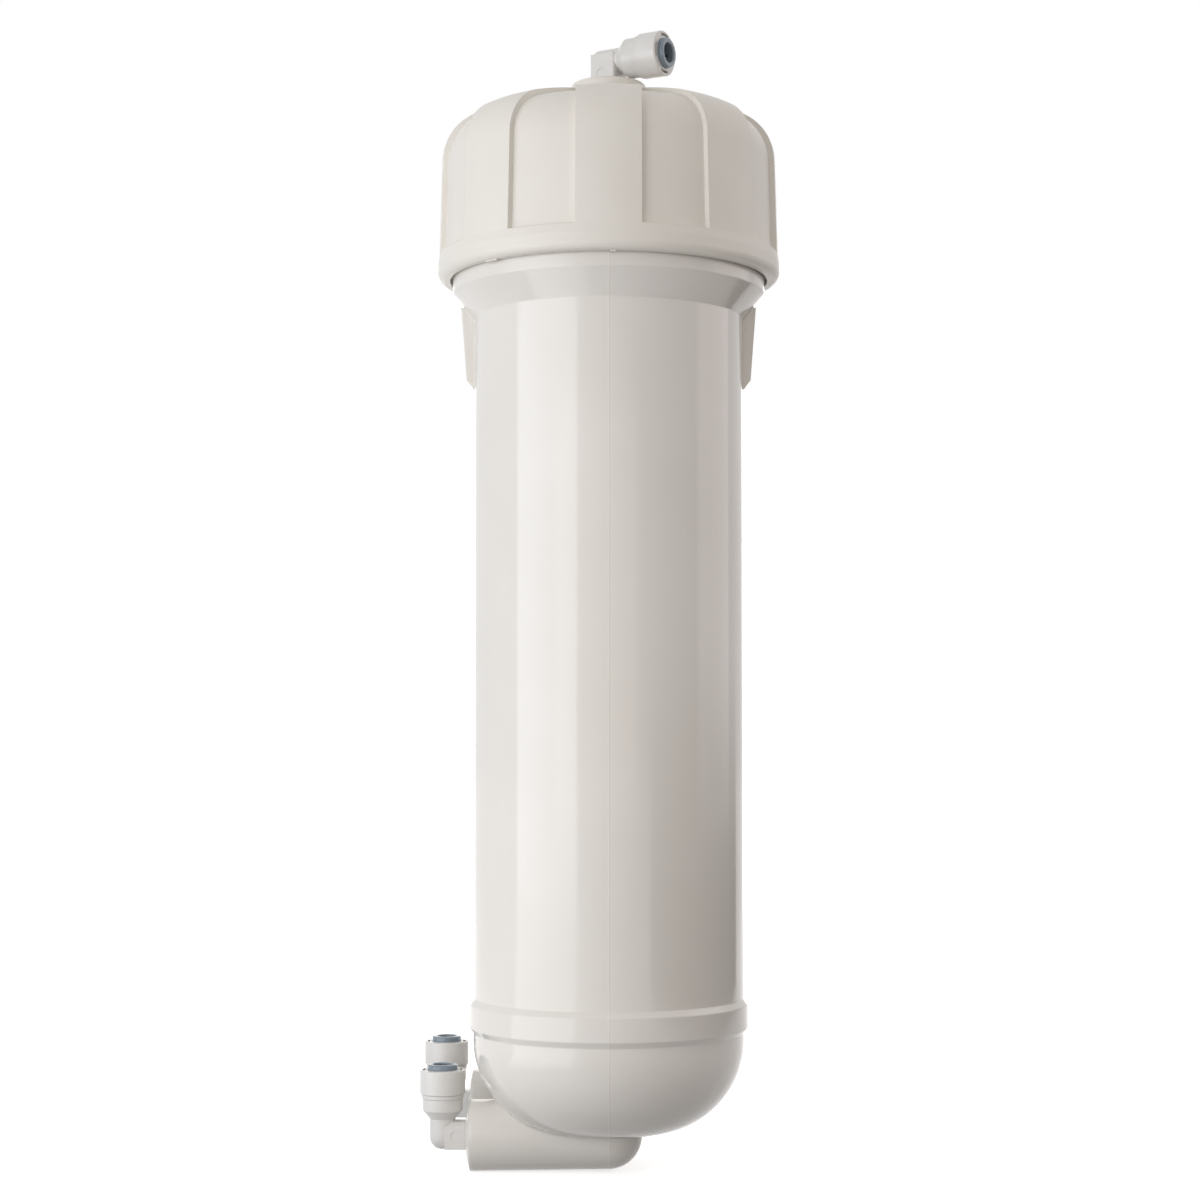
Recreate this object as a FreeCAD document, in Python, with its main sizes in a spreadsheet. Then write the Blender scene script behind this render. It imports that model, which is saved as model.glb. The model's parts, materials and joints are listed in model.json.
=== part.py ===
import FreeCAD, Part
import math
import os
import re

import Sketcher
from FreeCAD import Placement, Rotation, Vector

# Membrane pressure vessel: a moulded housing that holds one spiral wound
# membrane element, with a screwed cap and three elbow fittings for 1/4 inch
# tube. Millimetres. The frame sits on the vessel's axis at the middle of the
# band where a clip holds the tube: +Z up the axis, +X to the right of the
# mould seam as it faces the reader, -Y towards the reader.

doc = FreeCAD.newDocument("MembranePressureVessel")

# Driving dimensions, one named value each.
SIZES = {
    # Vessel tube and its ends
    "tube_radius": 45.0,
    "tube_wall": 4.5,
    "clip_to_foot": 116.5,
    "clip_to_cone": 124.0,
    "knuckle_radius": 30.2,
    "ring_drop": 2.5,
    "ring_chamfer": 1.9,
    "ring_width": 7.6,
    "ring_stand": 1.4,
    # Flange, gussets and screwed neck
    "cone_rise": 8.3,
    "flange_stand": 3.9,
    "flange_band": 6.0,
    "neck_wall": 5.5,
    "neck_rise": 35.5,
    "neck_lead": 1.2,
    "seal_bore_step": 2.5,
    "seal_bore_depth": 15.0,
    "seal_bore_taper": 4.0,
    "gusset_reach": 2.6,
    "gusset_toe": 1.9,
    "gusset_drop": 23.5,
    "gusset_thickness": 4.0,
    "gusset_corner": 3.0,
    # Screw thread between neck and cap
    "thread_pitch": 5.0,
    "thread_turns": 2.75,
    "thread_depth": 2.1,
    "thread_root": 3.0,
    "thread_crest": 1.6,
    "thread_step": 5.0,
    "thread_sink": 0.3,
    "thread_radial_gap": 0.6,
    # Permeate boss, a pipe under the dome, and the concentrate boss behind it
    "boss_radius": 11.8,
    "boss_draft": 0.6,
    "boss_crown": 1.4,
    "boss_spot_radius": 6.5,
    "boss_crown_radius": 33.0,
    "permeate_reach": 1.0,
    "permeate_axis_down": 1.6,
    "concentrate_reach": 2.0,
    "concentrate_axis_up": 3.5,
    "concentrate_axis_in": 11.0,
    "concentrate_inner": 12.0,
    "port_depth": 10.0,
    "port_lead": 0.8,
    "waterway_radius": 2.5,
    # Socket for the membrane's core tube
    "socket_wall": 3.0,
    "socket_bore_gap": 0.9,
    "socket_top": 3.5,
    "socket_depth": 20.0,
    "socket_lead": 1.0,
    # Cap
    "cap_gap": 0.6,
    "cap_mouth_gap": 0.9,
    "cap_mouth_depth": 2.2,
    "cap_edge_in": 2.3,
    "cap_edge_round": 3.0,
    "cap_rim_stand": 0.4,
    "cap_rim_low": 2.6,
    "cap_rim_high": 5.6,
    "cap_draft": 0.85,
    "cap_foot_rise": 8.4,
    "cap_side_wall": 4.85,
    "cap_side_over": 2.9,
    "cap_shoulder": 16.8,
    "cap_crown": 150.0,
    "cap_slope": 16.2,
    "cap_shoulder_in": 12.1,
    "cap_shoulder_up": 15.7,
    "cap_crown_up": 5.6,
    "cap_boss_radius": 12.7,
    "cap_boss_stand": 6.0,
    "cap_boss_round": 1.2,
    "cap_recess": 1.8,
    "cap_rib_width": 21.2,
    "cap_rib_count": 8,
    "cap_wall": 4.0,
    "cap_port_floor": 3.8,
    "spigot_gap": 0.4,
    "spigot_wall": 4.4,
    "spigot_over_floor": 2.0,
    "seal_groove_up": 4.0,
    "seal_groove_width": 3.6,
    # Rubber seals, drawn as squeezed
    "cap_seal_section": 1.5,
    "seal_gap": 0.05,
    # Membrane element
    "core_radius": 8.5,
    "core_bore_radius": 6.0,
    "core_head": 8.6,
    "core_foot_gap": 0.6,
    "core_hole_radius": 1.2,
    "core_hole_count": 10,
    "core_plug_depth": 10.0,
    "core_plug_head": 1.2,
    "core_seal_section": 1.15,
    "core_seal_first": 4.4,
    "core_seal_step": 6.0,
    "core_groove_width": 2.8,
    "wound_gap": 4.1,
    "wrap_thickness": 0.6,
    "element_gap": 1.9,
    "element_below_seat": 4.8,
    "end_cap_height": 9.0,
    "end_cap_hub": 12.4,
    "end_cap_rim": 3.6,
    "end_cap_spoke": 3.0,
    "end_cap_spoke_count": 6,
    "brine_groove_depth": 2.0,
    "brine_groove_width": 6.0,
    "brine_lip": 1.2,
    # Elbow fitting for 1/4 inch tube, whose own radius is line_radius. Heights
    # run up from the crossing of its axes
    "stem_radius": 4.25,
    "stem_end": 4.65,
    "stem_corner": 4.0,
    "stem_rise": 5.4,
    "barrel_taper": 2.9,
    "barrel_height": 4.1,
    "bead_stand": 0.35,
    "bead_height": 1.4,
    "collar_height": 7.8,
    "collar_wall": 0.85,
    "collar_round": 0.5,
    "collar_lip": 2.0,
    "collar_slot_depth": 1.4,
    "collar_slot_in": 0.75,
    "collar_slot_width": 0.9,
    "collar_slot_angle": 44.0,
    "spigot_ring_wall": 0.9,
    "spigot_ring_height": 3.5,
    "cartridge_gap": 0.25,
    "block_start": 0.9,
    "block_stand": 0.35,
    "block_top": 4.6,
    "block_length": 7.9,
    "block_chamfer": 1.8,
    "block_mark_radius": 2.0,
    "block_mark_depth": 0.15,
    "block_mark_in": 3.0,
    "stud_radius": 4.85,
    "stud_end_gap": 1.0,
    "stud_waterway": 2.2,
    "line_radius": 3.175,
    "pilot_gap": 0.125,
    "tube_seat_depth": 3.4,
    "tube_seal_section": 1.1,
    "collet_wall": 1.73,
    "collet_bore_gap": 0.045,
    "collet_stand": 1.8,
    "collet_round": 0.6,
    "collet_play": 0.3,
    "collet_barb_stand": 0.5,
    "collet_barb": 1.6,
    "collet_slot_width": 0.9,
    "collet_slot_count": 4,
    "grab_ring_gap": 0.4,
    "grab_ring_thickness": 0.3,
    "grab_tooth_width": 1.1,
    "grab_tooth_count": 8,
    "grab_tooth_length": 1.18,
    "fitting_gap": 0.05,
    # Feed elbow: a squarer body, and its turn about the vessel's axis, in
    # degrees, towards the reader
    "feed_stem_corner": 1.8,
    "feed_block_over": 2.0,
    "feed_block_chamfer": 0.4,
    "feed_turn": 30.0,
}

sizes = doc.addObject("Spreadsheet::Sheet", "sizes")
for row, (alias, size) in enumerate(SIZES.items(), start=1):
    sizes.set("A%d" % row, alias)
    sizes.set("B%d" % row, str(size))
    sizes.setAlias("B%d" % row, alias)
doc.recompute()


def bound(text):
    """A sheet expression from plain words: every size gets its sheet's name."""
    return re.sub(r"[a-z_]+", lambda m: "sizes." + m[0] if m[0] in SIZES else m[0], text)


def number(text):
    """The number that an expression in plain words gives at the present sizes."""
    return float(sizes.evalExpression(bound(text)))


def total(*texts):
    """Expressions added together, in brackets."""
    return "(" + " + ".join(texts) + ")"


# Heights that several pieces share, above the clip band
FOOT = "(-clip_to_foot)"
DOME_LOW = "(-clip_to_foot - knuckle_radius)"
FLANGE_TOP = "(clip_to_cone + cone_rise + flange_band)"
NECK_TOP = total(FLANGE_TOP, "neck_rise")
SOCKET_TOP = "(-clip_to_foot - socket_top)"
PERMEATE_AXIS = total(DOME_LOW, "-permeate_axis_down")
CONCENTRATE_AXIS = total(DOME_LOW, "concentrate_axis_up")
CAP_FOOT = total(FLANGE_TOP, "cap_gap", "-cap_mouth_depth")
CAP_SHOULDER_LOW = total(NECK_TOP, "cap_side_over")
CAP_SHOULDER_TOP = total(CAP_SHOULDER_LOW, "cap_shoulder_up")
CAP_CROWN = total(CAP_SHOULDER_TOP, "cap_crown_up")
CAP_TOP = total(CAP_CROWN, "cap_boss_stand")
SEAL_FLOOR = total(NECK_TOP, "-seal_bore_depth")
SPIGOT_TIP = total(SEAL_FLOOR, "spigot_over_floor")
# The element stands on the socket and ends below the taper under the seal's seat
WOUND_FOOT = total(SOCKET_TOP, "end_cap_height")
ELEMENT_TOP = total(SEAL_FLOOR, "-seal_bore_taper", "-element_below_seat")
WOUND_TOP = total(ELEMENT_TOP, "-end_cap_height")
CORE_FOOT = total(SOCKET_TOP, "-socket_depth", "core_foot_gap")
CORE_TOP = total(ELEMENT_TOP, "core_head")
# Radii about the vessel's axis, from the bore outwards
BORE = "(tube_radius - tube_wall)"
SEAL_BORE = total(BORE, "seal_bore_step")
NECK = total(SEAL_BORE, "neck_wall")
FLANGE = total(NECK, "flange_stand")
CAP_BORE = total(NECK, "thread_depth", "thread_radial_gap")
CAP_SIDE = total(CAP_BORE, "cap_side_wall")
CAP_SKIRT = total(CAP_SIDE, "cap_draft")
CAP_RIM = total(CAP_SKIRT, "cap_rim_stand")
SPIGOT = total(SEAL_BORE, "-spigot_gap")
END_CAP = total(BORE, "-element_gap")
WOUND = total(BORE, "-wound_gap")
SOCKET_BORE = "(core_radius + socket_bore_gap)"
# Reach of the two lower bosses from the axis
PERMEATE_RIM = "(tube_radius + permeate_reach)"
CONCENTRATE_RIM = "(tube_radius + concentrate_reach)"
CONCENTRATE_BACK = "(tube_radius - concentrate_axis_in)"
# Radii and heights of a fitting, built up round the tube that it takes
COLLET_BORE = "(line_radius + collet_bore_gap)"
PILOT = "(line_radius + pilot_gap)"
COLLET = total(COLLET_BORE, "collet_wall")
BARB = total(COLLET, "collet_barb_stand")
CARTRIDGE = total(BARB, "cartridge_gap")
SPIGOT_RING = total(CARTRIDGE, "spigot_ring_wall")
BARREL = total(SPIGOT_RING, "fitting_gap")
GRAB_RING = total(CARTRIDGE, "-grab_ring_gap")
GRAB_LAND = total(COLLET_BORE, "grab_tooth_length")
TUBE_SEAL_BORE = total(PILOT, "2 * tube_seal_section", "-seal_gap")
BLOCK_HALF = "(stem_radius + block_stand)"
STUD_BORE = "(stud_radius + fitting_gap)"
BARREL_LOW = "(stem_rise + barrel_taper)"
BEAD_LOW = total(BARREL_LOW, "barrel_height")
COLLAR_LOW = total(BEAD_LOW, "bead_height")
COLLAR_FACE = total(COLLAR_LOW, "collar_height")
COLLET_FACE = total(COLLAR_FACE, "collet_stand")
COLLET_TAIL = total(COLLAR_FACE, "-collar_lip", "-collet_play", "-collet_barb")
SPIGOT_RING_TOP = total(COLLAR_LOW, "spigot_ring_height")
TUBE_SEAL_SEAT = total(COLLAR_LOW, "-2 * tube_seal_section", "-4 * seal_gap")
TUBE_STOP = total(TUBE_SEAL_SEAT, "-tube_seat_depth")


def new_body(label):
    body = doc.addObject("PartDesign::Body", label)
    body.Label = label
    return body


def new_sketch(body, name, plane, shift=("0", "0", "0")):
    """Empty sketch on one of the body's origin planes, moved within its own axes."""
    sketch = body.newObject("Sketcher::SketchObject", name)
    base = [o for o in body.Origin.OriginFeatures if o.Role == plane][0]
    sketch.AttachmentSupport = [(base, "")]
    sketch.MapMode = "FlatFace"
    for axis, text in zip("xyz", shift):
        if text != "0":
            sketch.setExpression("AttachmentOffset.Base." + axis, bound(text))
    return sketch


def pin_point(sketch, edge, end, across, up):
    """Hold one end of an edge at two distances from the sketch's origin."""
    for kind, text in (("DistanceX", across), ("DistanceY", up)):
        index = sketch.addConstraint(
            Sketcher.Constraint(kind, -1, 1, edge, end, number(text)))
        sketch.setExpression("Constraints[%d]" % index, bound(text))


def outline(body, name, plane, corners, shift=("0", "0", "0")):
    """Closed sketch through corners. A corner is (across, up), and where its edge
    to the next corner is an arc, (across, up, radius, turn): turn is 1 where the
    arc runs anticlockwise and -1 where it runs clockwise."""
    sketch = new_sketch(body, name, plane, shift)
    spots = [Vector(number(c[0]), number(c[1]), 0) for c in corners]
    ends = []
    for i, corner in enumerate(corners):
        a = spots[i]
        b = spots[(i + 1) % len(spots)]
        if len(corner) == 2:
            edge = sketch.addGeometry(Part.LineSegment(a, b), False)
            ends.append((edge, 1, 2))
            continue
        radius = number(corner[2])
        turn = corner[3]
        chord = b - a
        rise = math.sqrt(radius ** 2 - (chord.Length / 2) ** 2)
        side = Vector(-chord.y, chord.x, 0).normalize()
        centre = (a + b) / 2 + side * rise * turn
        first, last = (a, b) if turn > 0 else (b, a)
        start = math.atan2(first.y - centre.y, first.x - centre.x)
        stop = math.atan2(last.y - centre.y, last.x - centre.x)
        circle = Part.Circle(centre, Vector(0, 0, 1), radius)
        edge = sketch.addGeometry(Part.ArcOfCircle(circle, start, stop), False)
        index = sketch.addConstraint(Sketcher.Constraint("Radius", edge, radius))
        sketch.setExpression("Constraints[%d]" % index, bound(corner[2]))
        ends.append((edge, 1, 2) if turn > 0 else (edge, 2, 1))
    for i, corner in enumerate(corners):
        edge, tail, head = ends[i]
        following, next_tail, _ = ends[(i + 1) % len(ends)]
        sketch.addConstraint(
            Sketcher.Constraint("Coincident", edge, head, following, next_tail))
        pin_point(sketch, edge, tail, corner[0], corner[1])
    return sketch


def circles(body, name, plane, rings, shift=("0", "0", "0")):
    """Sketch of circles, each (across, up, radius)."""
    sketch = new_sketch(body, name, plane, shift)
    for across, up, radius in rings:
        centre = Vector(number(across), number(up), 0)
        edge = sketch.addGeometry(
            Part.Circle(centre, Vector(0, 0, 1), number(radius)), False)
        index = sketch.addConstraint(
            Sketcher.Constraint("Radius", edge, number(radius)))
        sketch.setExpression("Constraints[%d]" % index, bound(radius))
        pin_point(sketch, edge, 3, across, up)
    return sketch


def revolve(body, sketch, axis="V_Axis", cut=False, angle=None):
    kind = "PartDesign::Groove" if cut else "PartDesign::Revolution"
    feature = body.newObject(kind, sketch.Name + "_turned")
    feature.Profile = sketch
    feature.ReferenceAxis = (sketch, [axis])
    if angle is None:
        feature.Angle = 360
    else:
        feature.setExpression("Angle", bound(angle))
        feature.Midplane = True
    return feature


def pad(body, sketch, length, midplane=False, cut=False, reversed_=False):
    kind = "PartDesign::Pocket" if cut else "PartDesign::Pad"
    feature = body.newObject(kind, sketch.Name + "_run")
    feature.Profile = sketch
    feature.setExpression("Length", bound(length))
    feature.Midplane = midplane
    feature.Reversed = reversed_
    return feature


def around(body, feature, count):
    """Repeat a feature about the body's own Z axis."""
    pattern = body.newObject("PartDesign::PolarPattern", feature.Name + "_around")
    pattern.Originals = [feature]
    axis = [o for o in body.Origin.OriginFeatures if o.Role == "Z_Axis"][0]
    pattern.Axis = (axis, [""])
    pattern.Angle = 360
    pattern.setExpression("Occurrences", bound(count))
    body.Tip = pattern


def screw(body, sketch, turns):
    """Sweep a tooth section up a helix about the body's axis."""
    feature = body.newObject("PartDesign::AdditiveHelix", sketch.Name + "_wound")
    feature.Profile = sketch
    feature.ReferenceAxis = (sketch, ["V_Axis"])
    feature.Mode = 1
    feature.setExpression("Pitch", bound("thread_pitch"))
    feature.setExpression("Turns", bound(turns))


def vessel_body():
    """Housing: tube, dome, two bosses, flange and screwed neck in one moulding."""
    body = new_body("vessel_body")
    flat = "tube_radius - knuckle_radius"
    ring_low = FOOT + " + ring_drop"
    ring = "tube_radius + ring_stand"
    shell = outline(body, "shell", "XZ_Plane", [
        ("0", DOME_LOW),
        (flat, DOME_LOW, "knuckle_radius", 1),
        ("tube_radius", FOOT),
        ("tube_radius", ring_low),
        (ring, ring_low + " + ring_chamfer"),
        (ring, ring_low + " + ring_chamfer + ring_width"),
        ("tube_radius", ring_low + " + 2 * ring_chamfer + ring_width"),
        ("tube_radius", "clip_to_cone"),
        (FLANGE, "clip_to_cone + cone_rise"),
        (FLANGE, FLANGE_TOP),
        (NECK, FLANGE_TOP),
        (NECK, NECK_TOP + " - neck_lead"),
        (NECK + " - neck_lead", NECK_TOP),
        (SEAL_BORE + " + neck_lead", NECK_TOP),
        (SEAL_BORE, NECK_TOP + " - neck_lead"),
        (SEAL_BORE, SEAL_FLOOR),
        (BORE, SEAL_FLOOR + " - seal_bore_taper"),
        (BORE, FOOT, "knuckle_radius - tube_wall", -1),
        (flat, DOME_LOW + " + tube_wall"),
        ("0", DOME_LOW + " + tube_wall"),
    ])
    revolve(body, shell)
    # Two gussets prop the flange on the left and right of the seam.
    gusset = outline(body, "gusset", "XZ_Plane", [
        ("tube_radius - tube_wall / 2", "clip_to_cone + cone_rise / 2"),
        ("tube_radius - tube_wall / 2", "clip_to_cone - gusset_drop"),
        ("tube_radius + gusset_toe - gusset_corner / 2", "clip_to_cone - gusset_drop"),
        ("tube_radius + gusset_toe + gusset_corner / 4",
         "clip_to_cone - gusset_drop + gusset_corner"),
        ("tube_radius + gusset_reach + gusset_toe", "clip_to_cone + cone_rise / 2"),
    ])
    around(body, pad(body, gusset, "gusset_thickness", midplane=True), "2")
    # Permeate boss: a drafted pipe from the dome's centre to the left.
    boss = outline(body, "permeate_boss", "XZ_Plane", [
        ("-" + PERMEATE_RIM + " - boss_crown", "0"),
        ("-" + PERMEATE_RIM + " - boss_crown", "boss_spot_radius", "boss_crown_radius", -1),
        ("-" + PERMEATE_RIM, "boss_radius"),
        ("0", "boss_radius - boss_draft", "boss_radius - boss_draft", -1),
        ("boss_radius - boss_draft", "0"),
    ], shift=("0", PERMEATE_AXIS, "0"))
    revolve(body, boss, axis="H_Axis")
    # Concentrate boss: the same pipe behind it, let into the dome's side.
    inner = "-concentrate_inner"
    boss = outline(body, "concentrate_boss", "XZ_Plane", [
        ("-" + CONCENTRATE_RIM + " - boss_crown", "0"),
        ("-" + CONCENTRATE_RIM + " - boss_crown", "boss_spot_radius", "boss_crown_radius", -1),
        ("-" + CONCENTRATE_RIM, "boss_radius"),
        (inner, "boss_radius - boss_draft", "boss_radius - boss_draft", -1),
        (inner + " + boss_radius - boss_draft", "0"),
    ], shift=("0", CONCENTRATE_AXIS, "-" + CONCENTRATE_BACK))
    revolve(body, boss, axis="H_Axis")
    # Upstand that takes the end of the membrane's core tube.
    floor = DOME_LOW + " + tube_wall / 2"
    upstand = circles(body, "socket", "XY_Plane", [("0", "0", SOCKET_BORE + " + socket_wall")],
                      shift=("0", "0", floor))
    pad(body, upstand, SOCKET_TOP + " - (" + floor + ")")
    # Socket bore and the waterway below it, down to the permeate boss.
    socket_floor = SOCKET_TOP + " - socket_depth"
    bore_cut = outline(body, "socket_bore", "XZ_Plane", [
        ("0", PERMEATE_AXIS),
        ("waterway_radius", PERMEATE_AXIS),
        ("waterway_radius", socket_floor),
        (SOCKET_BORE, socket_floor),
        (SOCKET_BORE, SOCKET_TOP + " - socket_lead"),
        (SOCKET_BORE + " + socket_lead", SOCKET_TOP),
        ("0", SOCKET_TOP),
    ])
    revolve(body, bore_cut, cut=True)
    for name, rim, run, shift in (
            ("permeate_port", PERMEATE_RIM, "0", ("0", PERMEATE_AXIS, "0")),
            ("concentrate_port", CONCENTRATE_RIM, "-concentrate_inner",
             ("0", CONCENTRATE_AXIS, "-" + CONCENTRATE_BACK))):
        mouth = "-" + rim + " - boss_crown"
        bottom = mouth + " + port_depth"
        port = outline(body, name, "XZ_Plane", [
            (mouth, "0"),
            (mouth, STUD_BORE + " + port_lead"),
            (mouth + " + port_lead", STUD_BORE),
            (bottom, STUD_BORE),
            (bottom, "waterway_radius"),
            (run, "waterway_radius"),
            (run, "0"),
        ], shift=shift)
        revolve(body, port, axis="H_Axis", cut=True)
    # The concentrate leaves the chamber down a riser beside the dome's floor.
    riser = circles(body, "concentrate_riser", "XY_Plane",
                    [("-concentrate_inner", CONCENTRATE_BACK, "waterway_radius")],
                    shift=("0", "0", CONCENTRATE_AXIS))
    pad(body, riser, FOOT + " - " + CONCENTRATE_AXIS, cut=True, reversed_=True)
    # External thread of the neck.
    tooth_foot = FLANGE_TOP + " + thread_step + thread_pitch / 2"
    tooth = outline(body, "neck_tooth", "XZ_Plane", [
        (NECK + " - thread_sink", tooth_foot),
        (NECK + " + thread_depth", tooth_foot + " + (thread_root - thread_crest) / 2"),
        (NECK + " + thread_depth", tooth_foot + " + (thread_root + thread_crest) / 2"),
        (NECK + " - thread_sink", tooth_foot + " + thread_root"),
    ])
    screw(body, tooth, "thread_turns")


def vessel_cap():
    """Ribbed screw cap: parallel ribs run up its side and over the crown."""
    body = new_body("vessel_cap")
    lean = "sin(cap_slope * 1 deg)"
    lift = "cos(cap_slope * 1 deg)"
    envelope = outline(body, "ribs", "XZ_Plane", [
        ("0", CAP_FOOT),
        (CAP_RIM + " - cap_edge_in", CAP_FOOT, "cap_edge_round", 1),
        (CAP_RIM, CAP_FOOT + " + cap_rim_low"),
        (CAP_RIM, CAP_FOOT + " + cap_rim_high"),
        (CAP_SKIRT, CAP_FOOT + " + cap_foot_rise"),
        (CAP_SIDE, CAP_SHOULDER_LOW, "cap_shoulder", 1),
        (CAP_SIDE + " - cap_shoulder_in", CAP_SHOULDER_TOP, "cap_crown", 1),
        ("cap_boss_radius", CAP_CROWN),
        ("cap_boss_radius", CAP_TOP + " - cap_boss_round", "cap_boss_round", 1),
        ("cap_boss_radius - cap_boss_round", CAP_TOP),
        ("0", CAP_TOP),
    ])
    revolve(body, envelope)
    # Cut the wedges between ribs away, then fill them to the recessed face.
    reach = "(1.1 * " + CAP_RIM + ")"
    half = "(cap_rib_width / 2)"
    pitch = "360 deg / cap_rib_count"
    wedge = outline(body, "wedge", "XY_Plane", [
        (half + " / tan(" + pitch + " / 2)", half),
        (reach, half),
        (reach + " * cos(" + pitch + ") + " + half + " * sin(" + pitch + ")",
         reach + " * sin(" + pitch + ") - " + half + " * cos(" + pitch + ")"),
    ], shift=("0", "0", CAP_CROWN))
    around(body, pad(body, wedge, CAP_CROWN + " - " + CAP_FOOT + " - cap_foot_rise", cut=True),
           "cap_rib_count")
    core = outline(body, "recesses", "XZ_Plane", [
        ("0", CAP_FOOT),
        (CAP_SKIRT + " - cap_recess", CAP_FOOT),
        (CAP_SKIRT + " - cap_recess", CAP_FOOT + " + cap_foot_rise"),
        (CAP_SIDE + " - cap_recess", CAP_SHOULDER_LOW, "cap_shoulder - cap_recess", 1),
        (CAP_SIDE + " - cap_shoulder_in - cap_recess * " + lean,
         CAP_SHOULDER_TOP + " - cap_recess * " + lift, "cap_crown - cap_recess", 1),
        ("cap_boss_radius", CAP_CROWN + " - cap_recess"),
        ("0", CAP_CROWN + " - cap_recess"),
    ])
    revolve(body, core)
    # Inside: the mouth over the flange, the thread's bore and the roof.
    roof_port = CAP_TOP + " - port_depth - cap_port_floor"
    cavity = outline(body, "cavity", "XZ_Plane", [
        ("0", CAP_FOOT),
        (FLANGE + " + cap_mouth_gap", CAP_FOOT),
        (FLANGE + " + cap_mouth_gap", CAP_FOOT + " + cap_mouth_depth"),
        (CAP_BORE, CAP_FOOT + " + cap_mouth_depth"),
        (CAP_BORE, CAP_SHOULDER_LOW, "cap_shoulder - cap_wall", 1),
        (CAP_SIDE + " - cap_shoulder_in - cap_wall * " + lean,
         CAP_SHOULDER_TOP + " - cap_wall * " + lift, "cap_crown - cap_wall", 1),
        ("cap_boss_radius", CAP_CROWN + " - cap_wall"),
        ("cap_boss_radius", roof_port),
        ("0", roof_port),
    ])
    revolve(body, cavity, cut=True)
    # Spigot that plugs the neck and carries the seal. Its root ends inside the
    # roof's wall and climbs with it.
    root = CAP_SHOULDER_TOP + " - cap_wall / 2"
    spigot = outline(body, "spigot", "XZ_Plane", [
        (SPIGOT + " - spigot_wall", SPIGOT_TIP),
        (SPIGOT, SPIGOT_TIP),
        (SPIGOT, root),
        (SPIGOT + " - spigot_wall",
         root + " + spigot_wall * tan(cap_slope * 1 deg / 2)"),
    ])
    revolve(body, spigot)
    groove_low = SPIGOT_TIP + " + seal_groove_up"
    groove_floor = SEAL_BORE + " - 2 * seal_gap - 2 * cap_seal_section"
    groove = outline(body, "seal_groove", "XZ_Plane", [
        (groove_floor, groove_low),
        (SEAL_BORE, groove_low),
        (SEAL_BORE, groove_low + " + seal_groove_width"),
        (groove_floor, groove_low + " + seal_groove_width"),
    ])
    revolve(body, groove, cut=True)
    port = outline(body, "feed_port", "XZ_Plane", [
        ("0", roof_port),
        ("waterway_radius", roof_port),
        ("waterway_radius", CAP_TOP + " - port_depth"),
        (STUD_BORE, CAP_TOP + " - port_depth"),
        (STUD_BORE, CAP_TOP + " - port_lead"),
        (STUD_BORE + " + port_lead", CAP_TOP),
        ("0", CAP_TOP),
    ])
    revolve(body, port, cut=True)
    # Internal thread, half a pitch below the neck's.
    tooth_foot = FLANGE_TOP + " + thread_step"
    bore_wall = CAP_BORE + " + thread_sink"
    crest = CAP_BORE + " - thread_depth"
    tooth = outline(body, "cap_tooth", "XZ_Plane", [
        (bore_wall, tooth_foot),
        (bore_wall, tooth_foot + " + thread_root"),
        (crest, tooth_foot + " + (thread_root + thread_crest) / 2"),
        (crest, tooth_foot + " + (thread_root - thread_crest) / 2"),
    ])
    screw(body, tooth, "thread_turns")


def ring(label, radius, height, section):
    """A round rubber ring about the vessel's axis."""
    body = new_body(label)
    sketch = circles(body, "section", "XZ_Plane", [(radius, height, section)])
    revolve(body, sketch)


def place(body, spot, turn=None):
    for axis, text in zip("xyz", spot):
        if text != "0":
            body.setExpression("Placement.Base." + axis, bound(text))
    if turn is not None:
        body.Placement = Placement(body.Placement.Base, turn)


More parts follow.
